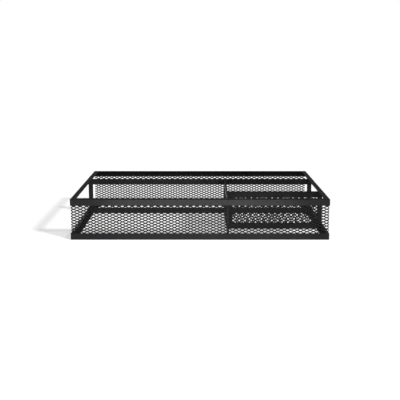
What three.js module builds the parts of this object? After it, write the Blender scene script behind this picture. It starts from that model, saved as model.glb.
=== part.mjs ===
// Drawer organizer insert: a frame of rolled steel angle, two walls of expanded
// metal and three framed dividers that stand inside it.
// Millimetres, +Z up, X is the width, Y the depth (front at -Y).
// The origin is the middle of the footprint, on the surface it stands on.
import * as THREE from 'three';

// Driving dimensions
const WIDTH = 380;
const DEPTH = 290;
const HEIGHT = 61;

// Rim angle: an upright leg on the outside and a flange that turns inward
const RIM_SHEET = 0.8;
const RIM_LEG = 10;
const RIM_FLANGE = 8.3;
const RIM_BEND_RADIUS = 1;

// Divider channel: a strip folded into a narrow U that grips the mesh
const CHANNEL_DEPTH = 9.5;
const CHANNEL_WIDTH = 2.6;
const CHANNEL_SHEET = 0.7;
const CHANNEL_BEND_RADIUS = 0.9;
const POST_DEPTH = 7.5;

// Expanded metal, flattened to one thickness
const MESH_THICKNESS = 0.9;

// Faces that meet are held this far apart
const SEAM = 0.1;

// Where the dividers stand
const CROSS_FRAME_SETBACK = 200;
const SHORT_DIVIDER_SETBACK = 73;
const LONG_DIVIDER_X = 41.6;

const BEND_SEGMENTS = 4;

const halfWidth = WIDTH / 2;
const halfDepth = DEPTH / 2;
const frontY = -halfDepth;

// Height band between the lower and the upper flanges
const innerBottom = RIM_SHEET + SEAM;
const innerTop = HEIGHT - RIM_SHEET - SEAM;
const innerHeight = innerTop - innerBottom;

const powderCoat = { color: 0x2b2b2d, roughness: 0.55, metalness: 0.2 };
const meshCoat = { color: 0x262628, roughness: 0.6, metalness: 0.2 };

function piece(name, geometry, finish) {
  const mesh = new THREE.Mesh(geometry, new THREE.MeshStandardMaterial(finish));
  mesh.name = name;
  return mesh;
}

// Angle section with its outer corner at the origin: the leg stands along +Y,
// the flange lies along +X, and the bend between them is rounded.
function angleSection() {
  const r = RIM_BEND_RADIUS;
  const shape = new THREE.Shape();
  shape.moveTo(r, 0);
  shape.lineTo(RIM_FLANGE, 0);
  shape.lineTo(RIM_FLANGE, RIM_SHEET);
  shape.lineTo(r, RIM_SHEET);
  shape.absarc(r, r, r - RIM_SHEET, -Math.PI / 2, -Math.PI, true);
  shape.lineTo(RIM_SHEET, RIM_LEG);
  shape.lineTo(0, RIM_LEG);
  shape.lineTo(0, r);
  shape.absarc(r, r, r, Math.PI, Math.PI * 1.5, false);
  return shape;
}

// Channel section: closed back on the X axis, the two legs along +Y, and the
// slot between them open at the far end.
function channelSection(depth) {
  const half = CHANNEL_WIDTH / 2;
  const slot = half - CHANNEL_SHEET;
  const r = CHANNEL_BEND_RADIUS;
  const shape = new THREE.Shape();
  shape.moveTo(half - r, 0);
  shape.absarc(half - r, r, r, -Math.PI / 2, 0, false);
  shape.lineTo(half, depth);
  shape.lineTo(slot, depth);
  shape.lineTo(slot, CHANNEL_SHEET);
  shape.lineTo(-slot, CHANNEL_SHEET);
  shape.lineTo(-slot, depth);
  shape.lineTo(-half, depth);
  shape.lineTo(-half, r);
  shape.absarc(-half + r, r, r, Math.PI, Math.PI * 1.5, false);
  return shape;
}

function extrude(shape, length) {
  return new THREE.ExtrudeGeometry(shape, {
    depth: length,
    bevelEnabled: false,
    curveSegments: BEND_SEGMENTS,
  });
}

// A rim rail along local X with 45 degree mitres: the further inward a point of
// the section lies, the shorter the rail is there. Local +Y points inward.
function rimRail(length, upsideDown) {
  const geometry = extrude(angleSection(), 1);
  const position = geometry.attributes.position;
  for (let i = 0; i < position.count; i += 1) {
    const inward = position.getX(i);
    const rise = position.getY(i);
    const end = position.getZ(i) > 0.5 ? 1 : -1;
    const reach = length / 2 - inward - SEAM / 2;
    const z = upsideDown ? HEIGHT - rise : rise;
    position.setXYZ(i, (upsideDown ? -end : end) * reach, inward, z);
  }
  geometry.computeVertexNormals();
  return geometry;
}

// A straight channel of the given length, lying along local X and centred on
// it, with its back at the given height and its slot facing up or down.
function channelBar(length, backZ, slotFacesUp) {
  const geometry = extrude(channelSection(CHANNEL_DEPTH), length);
  geometry.translate(0, 0, -length / 2);
  geometry.rotateX(Math.PI / 2);
  geometry.rotateZ(Math.PI / 2);
  if (!slotFacesUp) {
    geometry.rotateX(Math.PI);
  }
  geometry.translate(0, 0, backZ);
  return geometry;
}

// An upright channel between the two bars, with its back at the given local X.
function channelPost(length, backX, slotFacesRight) {
  const geometry = extrude(channelSection(POST_DEPTH), length);
  geometry.rotateZ(slotFacesRight ? -Math.PI / 2 : Math.PI / 2);
  geometry.translate(backX, 0, innerBottom + CHANNEL_DEPTH + SEAM);
  return geometry;
}

// Expanded metal as one flat sheet along local X, centred on it.
function meshSheet(length, bottom, height) {
  const geometry = new THREE.BoxGeometry(length, MESH_THICKNESS, height);
  geometry.translate(0, 0, bottom + height / 2);
  return geometry;
}

// Four channels that frame a divider of the given length, and the mesh that
// they grip when it has any.
function dividerFrame(prefix, length, endNames, hasMesh) {
  const frame = new THREE.Group();
  const postLength = innerHeight - 2 * (CHANNEL_DEPTH + SEAM);
  const bars = [
    [prefix + '_bottom_channel', channelBar(length, innerBottom, true)],
    [prefix + '_top_channel', channelBar(length, innerTop, false)],
    [prefix + '_' + endNames[0] + '_post', channelPost(postLength, -length / 2, true)],
    [prefix + '_' + endNames[1] + '_post', channelPost(postLength, length / 2, false)],
  ];
  for (const [name, geometry] of bars) {
    frame.add(piece(name, geometry, powderCoat));
  }
  if (hasMesh) {
    const inset = CHANNEL_SHEET + 0.3;
    const sheet = meshSheet(length - 2 * inset, innerBottom + inset, innerHeight - 2 * inset);
    frame.add(piece(prefix + '_mesh', sheet, meshCoat));
  }
  return frame;
}

const organizer = new THREE.Group();
organizer.name = 'drawer_organizer_insert';

// Rim: four mitred rails at the bottom and four at the top
const sides = [
  ['front', WIDTH, 0, frontY, 0],
  ['right', DEPTH, halfWidth, 0, Math.PI / 2],
  ['back', WIDTH, 0, halfDepth, Math.PI],
  ['left', DEPTH, -halfWidth, 0, -Math.PI / 2],
];
for (const [side, length, x, y, turn] of sides) {
  for (const level of ['bottom', 'top']) {
    const rail = piece(level + '_' + side + '_rail', rimRail(length, level === 'top'), powderCoat);
    rail.position.set(x, y, 0);
    rail.rotation.z = turn;
    organizer.add(rail);
  }
}

// Mesh walls, welded to the inside of the front and the back legs
const wallOffset = RIM_SHEET + SEAM + MESH_THICKNESS / 2;
const wallLength = WIDTH - 2 * (RIM_SHEET + SEAM);
for (const [name, y] of [['front_mesh', frontY + wallOffset], ['back_mesh', halfDepth - wallOffset]]) {
  const wall = piece(name, meshSheet(wallLength, innerBottom, innerHeight), meshCoat);
  wall.position.y = y;
  organizer.add(wall);
}

// Cross frame: an open frame over the full width
const crossFrameY = frontY + CROSS_FRAME_SETBACK + CHANNEL_WIDTH / 2;
const crossFrame = dividerFrame('cross_frame', wallLength, ['left', 'right'], false);
crossFrame.position.y = crossFrameY;
organizer.add(crossFrame);

// Long divider: from the front wall back to the cross frame
const longFront = frontY + RIM_SHEET + MESH_THICKNESS + 2 * SEAM;
const longBack = crossFrameY - CHANNEL_WIDTH / 2 - SEAM;
const longDivider = dividerFrame('long_divider', longBack - longFront, ['front', 'back'], true);
longDivider.position.set(LONG_DIVIDER_X, (longFront + longBack) / 2, 0);
longDivider.rotation.z = Math.PI / 2;
organizer.add(longDivider);

// Short divider: from the long divider to the right side of the rim
const shortLeft = LONG_DIVIDER_X + CHANNEL_WIDTH / 2 + SEAM;
const shortRight = halfWidth - RIM_SHEET - SEAM;
const shortDivider = dividerFrame('short_divider', shortRight - shortLeft, ['left', 'right'], true);
shortDivider.position.set(
  (shortLeft + shortRight) / 2,
  frontY + SHORT_DIVIDER_SETBACK + CHANNEL_WIDTH / 2,
  0,
);
organizer.add(shortDivider);

export default organizer;
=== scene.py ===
"""Drawer organizer insert: black powder-coated steel angle, expanded metal and channel dividers.

Metres, +Z up, X along the width, Y towards the back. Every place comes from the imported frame.
"""
import math

import bmesh
import bpy
import numpy as np
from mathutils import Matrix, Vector


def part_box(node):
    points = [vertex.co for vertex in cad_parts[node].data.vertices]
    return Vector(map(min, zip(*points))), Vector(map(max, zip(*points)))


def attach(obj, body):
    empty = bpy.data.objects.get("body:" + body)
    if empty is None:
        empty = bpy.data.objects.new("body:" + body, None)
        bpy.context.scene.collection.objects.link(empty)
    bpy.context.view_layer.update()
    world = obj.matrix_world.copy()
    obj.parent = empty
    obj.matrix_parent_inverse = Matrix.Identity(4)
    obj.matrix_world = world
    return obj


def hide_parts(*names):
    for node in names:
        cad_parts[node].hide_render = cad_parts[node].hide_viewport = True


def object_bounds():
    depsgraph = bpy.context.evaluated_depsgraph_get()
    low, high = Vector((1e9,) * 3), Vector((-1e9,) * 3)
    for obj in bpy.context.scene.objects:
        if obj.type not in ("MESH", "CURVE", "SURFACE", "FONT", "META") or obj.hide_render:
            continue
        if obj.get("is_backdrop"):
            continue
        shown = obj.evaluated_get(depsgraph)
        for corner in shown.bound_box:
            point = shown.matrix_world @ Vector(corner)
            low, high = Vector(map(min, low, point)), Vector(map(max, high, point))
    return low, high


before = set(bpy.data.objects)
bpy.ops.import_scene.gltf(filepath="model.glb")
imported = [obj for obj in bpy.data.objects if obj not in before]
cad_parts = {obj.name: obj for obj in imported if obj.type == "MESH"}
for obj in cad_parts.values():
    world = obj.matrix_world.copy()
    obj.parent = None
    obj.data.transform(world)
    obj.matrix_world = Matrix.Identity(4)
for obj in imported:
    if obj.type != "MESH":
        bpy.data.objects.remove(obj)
cad_low, cad_high = (list(corner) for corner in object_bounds())


# ---------------------------------------------------------------------------
# Rim rails. Eight lengths of steel angle rolled from 0.8 mm strip: an upright
# leg outside and a flange that turns inward, cut at 45 degrees and butt welded
# into one ring at the bottom and one at the top. Powder coated after welding.
# ---------------------------------------------------------------------------

MM = 0.001
rim_sheet = 0.8 * MM
rim_bend = 1.0 * MM
eased_end = 0.15 * MM      # how far the coat rounds a cut end
flat_edge = 0.25 * MM      # width of the loop that keeps a flat face flat beside a bend


def arc(centre, radius, start, stop, steps):
    """Points on a circle: centre plus radius times (cosine, sine) of evenly spaced angles in degrees."""
    angle = np.radians(np.linspace(start, stop, steps))
    return np.asarray(centre) + radius * np.stack([np.cos(angle), np.sin(angle)], axis=1)


def strip_section(path, sheet, cap_steps=5):
    """Outline of a bent strip. Each point of the mid-line is moved half the sheet to its left and to its
    right, along the normal of the line there, and a half circle closes each end."""
    along = np.gradient(path, axis=0)
    along /= np.linalg.norm(along, axis=1, keepdims=True)
    left = np.stack([-along[:, 1], along[:, 0]], axis=1)
    half = sheet / 2

    def cap(point, direction):
        heading = math.degrees(math.atan2(direction[1], direction[0]))
        return arc(point, half, heading + 90, heading - 90, cap_steps)[1:-1]

    return np.concatenate([
        path + half * left,
        cap(path[-1], along[-1]),
        (path - half * left)[::-1],
        cap(path[0], -along[0]),
    ])


def angle_path(leg, flange, sheet, bend):
    """Mid-line of an angle as (inward, up): along the flange, round the bend, and up the leg."""
    half = sheet / 2
    turn = arc((bend, bend), bend - half, 270, 180, 6)
    return np.concatenate([
        [[flange - half, half], [flange - half - flat_edge, half], [bend + flat_edge, half]],
        turn,
        [[half, bend + flat_edge], [half, leg - half - flat_edge], [half, leg - half]],
    ])


def carry(sections, places):
    """Skin of a section carried along a line: row i of the grid is section i put in its place by places[i],
    column j follows point j of the outline, and a flat cap closes each end."""
    grid = np.stack([place(section) for section, place in zip(sections, places)])
    rows, columns = grid.shape[:2]
    row, column = np.meshgrid(np.arange(rows - 1), np.arange(columns), indexing="ij")
    after = (column + 1) % columns
    quads = np.stack([
        row * columns + column,
        row * columns + after,
        (row + 1) * columns + after,
        (row + 1) * columns + column,
    ], axis=-1).reshape(-1, 4)
    first = np.arange(columns)[::-1]
    last = (rows - 1) * columns + np.arange(columns)
    return grid.reshape(-1, 3), quads.tolist() + [first.tolist(), last.tolist()]


def solid(name, points, faces, material):
    """Puts a closed skin into a mesh object at the origin, with its faces turned outwards."""
    data = bpy.data.meshes.new(name)
    data.from_pydata(points, [], faces)
    body = bmesh.new()
    body.from_mesh(data)
    bmesh.ops.recalc_face_normals(body, faces=body.faces)
    body.to_mesh(data)
    body.free()
    data.shade_smooth()
    data.set_sharp_from_angle(angle=math.radians(50))
    data.materials.append(material)
    made = bpy.data.objects.new(name, data)
    bpy.context.scene.collection.objects.link(made)
    return made


def linear(code, alpha=1.0):
    """Linear colour of an sRGB hex code."""
    parts = [int(code[i:i + 2], 16) / 255 for i in (1, 3, 5)]
    return tuple(p / 12.92 if p <= 0.04045 else ((p + 0.055) / 1.055) ** 2.4 for p in parts) + (alpha,)


def add(tree, kind, inputs=None, **settings):
    """Adds a node with its settings. An input that is another node's output is linked, any other is set."""
    made = tree.nodes.new(kind)
    for key, value in settings.items():
        setattr(made, key, value)
    for key, value in (inputs or {}).items():
        if isinstance(value, bpy.types.NodeSocket):
            tree.links.new(value, made.inputs[key])
        else:
            made.inputs[key].default_value = value
    return made


def powder_coat(name, deep, worn, dust, roughness, shine):
    """Black polyester powder coat, sprayed and baked. It dries as a satin skin with a soft orange peel and
    a fine grit, so highlights are broad and slightly broken, and dust greys the faces that look up."""
    material = bpy.data.materials.new(name)
    material.use_nodes = True
    tree = material.node_tree
    tree.nodes.clear()
    place = add(tree, "ShaderNodeTexCoord").outputs["Object"]

    # Orange peel is about 2.5 mm across. The grit of the powder is about 0.1 mm, and is drawn 0.7 mm
    # across so that it shows.
    peel = add(tree, "ShaderNodeTexNoise", {"Vector": place, "Scale": 1 / (2.5 * MM), "Detail": 2.0})
    grit = add(tree, "ShaderNodeTexNoise", {"Vector": place, "Scale": 1 / (0.7 * MM), "Detail": 3.0})
    cloud = add(tree, "ShaderNodeTexNoise", {"Vector": place, "Scale": 1 / (38 * MM), "Detail": 4.0})

    # A Mix node's colour sockets share their names with its other kinds, so they go by number:
    # 6 and 7 are the two colours and 2 is the blended one.
    tone = add(tree, "ShaderNodeMapRange", {
        "Value": cloud.outputs["Fac"], "From Min": 0.35, "From Max": 0.68,
    })
    coat = add(tree, "ShaderNodeMix", {
        0: tone.outputs["Result"], 6: linear(deep), 7: linear(worn),
    }, data_type="RGBA")

    normal = add(tree, "ShaderNodeNewGeometry").outputs["Normal"]
    facing = add(tree, "ShaderNodeSeparateXYZ", {"Vector": normal})
    upward = add(tree, "ShaderNodeMapRange", {
        "Value": facing.outputs["Z"], "From Min": 0.75, "From Max": 1.0,
    })
    speck = add(tree, "ShaderNodeMapRange", {
        "Value": grit.outputs["Fac"], "From Min": 0.45, "From Max": 0.75, "To Max": 0.55,
    })
    settled = add(tree, "ShaderNodeMath", {
        0: upward.outputs["Result"], 1: speck.outputs["Result"],
    }, operation="MULTIPLY")
    colour = add(tree, "ShaderNodeMix", {
        0: settled.outputs["Value"], 6: coat.outputs[2], 7: linear(dust),
    }, data_type="RGBA")

    spread = 0.06
    gloss = add(tree, "ShaderNodeMapRange", {
        "Value": peel.outputs["Fac"], "From Min": 0.3, "From Max": 0.7,
        "To Min": roughness - spread, "To Max": roughness + spread,
    })
    waves = add(tree, "ShaderNodeBump", {
        "Strength": 0.35, "Distance": 0.06 * MM, "Height": peel.outputs["Fac"],
    })
    grain = add(tree, "ShaderNodeBump", {
        "Strength": 0.45, "Distance": 0.03 * MM,
        "Height": grit.outputs["Fac"], "Normal": waves.outputs["Normal"],
    })
    shader = add(tree, "ShaderNodeBsdfPrincipled", {
        "Base Color": colour.outputs[2], "Roughness": gloss.outputs["Result"], "IOR": 1.5,
        "Specular IOR Level": shine, "Normal": grain.outputs["Normal"],
    })
    add(tree, "ShaderNodeOutputMaterial", {"Surface": shader.outputs["BSDF"]})
    return material


frame_coat = powder_coat("satin_black_powder_coat", "#18181a", "#1f1f20", "#272726", 0.3, 0.14)


def rim_rail(node, along, inward, upside_down):
    """An angle section carried from mitre to mitre. Its reach is half the rail's length less how far
    inward a point lies, so that each end is cut at 45 degrees."""
    low, high = (np.array(corner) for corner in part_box(node))
    size = high - low
    along, inward = np.array(along), np.array(inward)
    leg, flange = size[2], abs(size @ inward)
    reach = abs(size @ along) / 2
    outer = (low + high) / 2 - inward * flange / 2
    path = angle_path(leg, flange, rim_sheet, rim_bend)
    full = strip_section(path, rim_sheet)
    eased = strip_section(path, rim_sheet - eased_end)
    base, rise = (high[2], -1) if upside_down else (low[2], 1)

    def station(side, back):
        def place(section):
            inset, height = section[:, :1], section[:, 1:]
            point = outer + inward * inset + along * side * (reach - inset - back)
            point[:, 2:] = base + rise * height
            return point
        return place

    steps = [(-1, 0, eased), (-1, eased_end, full), (-1, 3 * eased_end, full),
             (1, 3 * eased_end, full), (1, eased_end, full), (1, 0, eased)]
    points, faces = carry([s for _, _, s in steps], [station(side, back) for side, back, _ in steps])
    return solid(node.replace("_rail", "_angle"), points, faces, frame_coat)


rim_sides = {
    "front": ((1, 0, 0), (0, 1, 0)),
    "right": ((0, 1, 0), (-1, 0, 0)),
    "back": ((-1, 0, 0), (0, -1, 0)),
    "left": ((0, -1, 0), (1, 0, 0)),
}
for level in ("bottom", "top"):
    for side, (along, inward) in rim_sides.items():
        node = f"{level}_{side}_rail"
        rail = rim_rail(node, along, inward, level == "top")
        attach(rail, "root")
        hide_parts(node)


# ---------------------------------------------------------------------------
# Front and back walls. Expanded metal: sheet steel slit and stretched into long
# diamonds, 9.5 by 4.2 mm, whose strands stay one piece with each other. The
# panels are spot welded to the inside of the rim's legs and coated with them.
# ---------------------------------------------------------------------------

wall_cell = (9.5 * MM, 4.19 * MM)  # long way along the wall, short way up it
wall_opening = 0.58                # opening's diagonals as a share of the cell's; strands 1.4 mm wide
wall_strand = 0.62 * MM            # strand thickness with its coat
wall_twist = 0.16 * MM             # how far stretching tips each strand's edge out of the sheet

# Where one diamond is centred along each wall and up it, because a panel is cut where it comes
wall_first_cell = {"front_mesh": (5.2 * MM, 47.7 * MM), "back_mesh": (2.55 * MM, 47.3 * MM)}


def diamond_cell(cell, opening, thickness, twist, roundness=1.12):
    """One cell of expanded metal: a diamond tile with a rounded hole, as (across, up, out).

    Going round, 12 points follow the tile's diamond edge. Going across, each point moves from that edge,
    the middle of a strand, to the hole's edge on the front, over the rounded lip, and back behind. The
    hole's edge is the tile's edge times the opening share, divided by the sum of the powers of its two
    coordinates, which rounds the sides. The lip is tipped out in proportion to its height in the cell."""
    per_side = 3
    corner = np.array([[1, 0], [0, 1], [-1, 0], [0, -1]], dtype=float)
    share = np.arange(per_side)[:, None] / per_side
    edge = np.concatenate([a * (1 - share) + b * share for a, b in zip(corner, np.roll(corner, -1, axis=0))])
    lip = edge * opening / (np.abs(edge) ** roundness).sum(axis=1, keepdims=True) ** (1 / roundness)
    travel = np.array([0, 0.78, 1, 0.78, 0])
    depth = np.array([0.5, 0.45, 0, -0.45, -0.5]) * thickness
    across = edge[None] + (lip - edge)[None] * travel[:, None, None]
    flat = across * np.array(cell) / 2
    out = depth[:, None] + twist * travel[:, None] * edge[None, :, 1]
    return np.concatenate([flat, out[..., None]], axis=-1)


def expanded_metal(name, node, along, cell, opening, thickness, twist, first, material):
    """A panel of diamond cells in a staggered lattice, trimmed to the node's box.

    The cell is copied to every lattice point by adding the points to it, points that fall together are
    made one, and the panel is cut straight along its four sides with the cut strands closed."""
    low, high = (np.array(corner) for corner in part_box(node))
    middle = (low + high) / 2
    along = np.array(along, dtype=float)
    out = np.cross(along, (0, 0, 1))
    length = abs((high - low) @ along)
    tile = diamond_cell(cell, opening, thickness, twist)
    rings, around = tile.shape[:2]

    left, right = -length / 2, length / 2
    columns_left = math.floor((left - first[0]) / cell[0]) - 1
    columns_right = math.ceil((right - first[0]) / cell[0]) + 2
    column = np.arange(columns_left, columns_right)
    rows_below = math.floor((low[2] - first[1]) / cell[1] * 2) - 1
    rows_above = math.ceil((high[2] - first[1]) / cell[1] * 2) + 2
    row = np.arange(rows_below, rows_above)
    column, row = (g.ravel() for g in np.meshgrid(column, row))
    centre = np.stack([
        first[0] + (column + 0.5 * (row % 2)) * cell[0],
        first[1] + row * cell[1] / 2,
        np.zeros(len(row)),
    ], axis=1)
    inside = ((np.abs(centre[:, 0]) < length / 2 + cell[0] / 2)
              & (centre[:, 1] > low[2] - cell[1] / 2) & (centre[:, 1] < high[2] + cell[1] / 2))
    centre = centre[inside]

    points = (centre[:, None, None] + tile[None]).reshape(-1, 3)
    ring, step = np.meshgrid(np.arange(rings - 1), np.arange(around), indexing="ij")
    after = (step + 1) % around
    quad = np.stack([
        ring * around + step, (ring + 1) * around + step, (ring + 1) * around + after, ring * around + after,
    ], axis=-1).reshape(-1, 4)
    faces = (np.arange(len(centre))[:, None, None] * rings * around + quad[None]).reshape(-1, 4)
    weld_distance = 0.001 * MM
    grid = np.round(points / weld_distance).astype(np.int64)
    _, keep, same = np.unique(grid, axis=0, return_index=True, return_inverse=True)
    points, faces = points[keep], same.ravel()[faces]

    world = middle * [1, 1, 0] + points[:, :1] * along + points[:, 2:] * out + points[:, 1:2] * [0, 0, 1]
    data = bpy.data.meshes.new(name)
    data.from_pydata(world, [], faces)
    body = bmesh.new()
    body.from_mesh(data)
    for point, normal in ((low, -along), (high, along), (low, (0, 0, -1)), (high, (0, 0, 1))):
        cut = bmesh.ops.bisect_plane(
            body, geom=body.verts[:] + body.edges[:] + body.faces[:], dist=1e-7,
            plane_co=point, plane_no=normal, clear_outer=True)
        edges = [g for g in cut["geom_cut"] if isinstance(g, bmesh.types.BMEdge) and g.is_boundary]
        bmesh.ops.holes_fill(body, edges=edges, sides=0)
    bmesh.ops.recalc_face_normals(body, faces=body.faces)
    body.to_mesh(data)
    body.free()
    data.shade_smooth()
    data.set_sharp_from_angle(angle=math.radians(60))
    data.materials.append(material)
    made = bpy.data.objects.new(name, data)
    bpy.context.scene.collection.objects.link(made)
    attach(made, "root")
    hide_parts(node)
    return made


mesh_coat = powder_coat("black_powder_coat_on_expanded_steel", "#0e0e0f", "#151516", "#222221", 0.58, 0.15)

for node, first in wall_first_cell.items():
    expanded_metal(node.replace("mesh", "expanded_metal"), node, (1, 0, 0), wall_cell, wall_opening,
                   wall_strand, wall_twist, first, mesh_coat)


# ---------------------------------------------------------------------------
# Divider frames. Channel folded from 0.7 mm strip to a U 2.6 mm wide: a long
# one along the top and the bottom and a short one up each end, welded at the
# corners. The cross frame stays open, the other two hold a mesh in their slots.
# ---------------------------------------------------------------------------

channel_sheet = 0.7 * MM
channel_bend = 0.9 * MM


def channel_path(width, depth, sheet, bend):
    """Mid-line of a channel as (sideways, into the slot): down one leg, across the back, up the other."""
    half, side = sheet / 2, (width - sheet) / 2
    right = np.concatenate([
        arc((side - bend + half, bend), bend - half, 270, 360, 5),
        [[side, bend + flat_edge], [side, depth - half - flat_edge], [side, depth - half]],
    ])
    return np.concatenate([right[::-1] * [-1, 1], right])


def channel(node, along, slot):
    """A channel section carried along the node's box, with the slot opening in the given direction."""
    low, high = (np.array(corner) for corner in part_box(node))
    along, slot = np.array(along, dtype=float), np.array(slot, dtype=float)
    across = np.cross(slot, along)
    size = high - low
    reach, depth, width = (abs(size @ axis) for axis in (along, slot, across))
    back = (low + high) / 2 - slot * depth / 2
    path = channel_path(width, depth, channel_sheet, channel_bend)
    full = strip_section(path, channel_sheet)
    eased = strip_section(path, channel_sheet - eased_end)

    def station(distance):
        def place(section):
            return back + across * section[:, :1] + slot * section[:, 1:] + along * distance
        return place

    half = reach / 2
    steps = [(-half, eased), (-half + eased_end, full), (-half + 3 * eased_end, full),
             (half - 3 * eased_end, full), (half - eased_end, full), (half, eased)]
    points, faces = carry([s for _, s in steps], [station(distance) for distance, _ in steps])
    made = solid(node + "_piece", points, faces, frame_coat)
    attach(made, "root")
    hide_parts(node)
    return made


up, down = (0, 0, 1), (0, 0, -1)
dividers = {
    "cross_frame": ((1, 0, 0), "left", "right"),
    "long_divider": ((0, 1, 0), "front", "back"),
    "short_divider": ((1, 0, 0), "left", "right"),
}
for divider, (along, near, far) in dividers.items():
    away = tuple(-a for a in along)
    channel(f"{divider}_bottom_channel", along, up)
    channel(f"{divider}_top_channel", along, down)
    channel(f"{divider}_{near}_post", up, along)
    channel(f"{divider}_{far}_post", up, away)


# ---------------------------------------------------------------------------
# Divider mesh. A finer expanded metal than the walls', turned so that its
# 4.6 by 5.8 mm diamonds stand upright. It sits in the channels' slots.
# ---------------------------------------------------------------------------

divider_cell = (4.6 * MM, 5.8 * MM)
divider_opening = 0.62
divider_strand = 0.6 * MM
divider_twist = 0.12 * MM
divider_first_cell = (0.19 * MM, 31.34 * MM)

for node, along in (("long_divider_mesh", (0, 1, 0)), ("short_divider_mesh", (1, 0, 0))):
    expanded_metal(node.replace("mesh", "expanded_metal"), node, along, divider_cell, divider_opening,
                   divider_strand, divider_twist, divider_first_cell, mesh_coat)


# ---------------------------------------------------------------------------
# Studio. A glowing white table, a backdrop that is white only to the camera, so
# the black coat keeps its depth, a distant soft key light from the front right
# and a small strip light in front.
# ---------------------------------------------------------------------------

table_paint = bpy.data.materials.new("white_studio_table")
table_paint.use_nodes = True
table_shader = table_paint.node_tree.nodes["Principled BSDF"]
table_shader.inputs["Base Color"].default_value = (0.88, 0.88, 0.88, 1)
table_shader.inputs["Roughness"].default_value = 0.95
table_shader.inputs["Specular IOR Level"].default_value = 0.0
table_shader.inputs["Emission Color"].default_value = (1, 1, 1, 1)
table_shader.inputs["Emission Strength"].default_value = 0.61

table_reach = 40.0
table_data = bpy.data.meshes.new("studio_table")
table_data.from_pydata([
    (-table_reach, -table_reach, 0), (table_reach, -table_reach, 0),
    (table_reach, table_reach, 0), (-table_reach, table_reach, 0),
], [], [(0, 1, 2, 3)])
table_data.materials.append(table_paint)
table = bpy.data.objects.new("studio_table", table_data)
bpy.context.scene.collection.objects.link(table)
table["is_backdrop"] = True

room_light = 0.09
backdrop_white = 1.0
room = bpy.data.worlds.new("studio_room")
room.use_nodes = True
room.node_tree.nodes.clear()
seen = add(room.node_tree, "ShaderNodeLightPath").outputs["Is Camera Ray"]
glow = add(room.node_tree, "ShaderNodeMapRange", {
    "Value": seen, "To Min": room_light, "To Max": backdrop_white,
})
backdrop = add(room.node_tree, "ShaderNodeBackground", {
    "Color": (1, 1, 1, 1), "Strength": glow.outputs["Result"],
})
add(room.node_tree, "ShaderNodeOutputWorld", {"Surface": backdrop.outputs["Background"]})
bpy.context.scene.world = room

# The light is 45 degrees to the right of the front and 32 degrees up, and its 8 degree disc gives
# the shadow its soft edge.
light_turn, light_rise, light_disc = (math.radians(a) for a in (45, 32, 8))
towards_light = Vector((
    math.sin(light_turn) * math.cos(light_rise),
    -math.cos(light_turn) * math.cos(light_rise),
    math.sin(light_rise),
))
key_data = bpy.data.lights.new("key", "SUN")
key_data.energy = 2.4
key_data.angle = light_disc
key = bpy.data.objects.new("key", key_data)
key.rotation_mode = "QUATERNION"
key.rotation_quaternion = towards_light.to_track_quat("Z", "Y")
bpy.context.scene.collection.objects.link(key)

# A low strip light stands on the table in front. The camera sees it mirrored in the middle of the
# top front rail, and less in the bottom one, which mirrors the table before the strip.
strip_length = 0.33
strip_height = 0.024
strip_distance = 0.24
strip_middle = 0.013
strip_data = bpy.data.lights.new("front_strip", "AREA")
strip_data.shape = "RECTANGLE"
strip_data.size = strip_length
strip_data.size_y = strip_height
strip_data.energy = 0.3
strip = bpy.data.objects.new("front_strip", strip_data)
strip.location = (0, cad_low[1] - strip_distance, strip_middle)
strip.rotation_euler = (math.radians(90), 0, 0)
strip.visible_camera = False
bpy.context.scene.collection.objects.link(strip)

# The camera stands 1.2 m in front of the front wall and 274 mm above the floor, and looks 10 degrees down.
camera_distance = 1.2012
camera_height = 0.274
camera_pitch = 10.12
camera_data = bpy.data.cameras.new("camera")
camera_data.sensor_width = 36
camera_data.lens = 75.3
camera = bpy.data.objects.new("camera", camera_data)
camera.location = (0, cad_low[1] - camera_distance, camera_height)
camera.rotation_euler = (math.radians(90 - camera_pitch), 0, 0)
bpy.context.scene.collection.objects.link(camera)
bpy.context.scene.camera = camera
bpy.context.scene.view_settings.view_transform = "Standard"
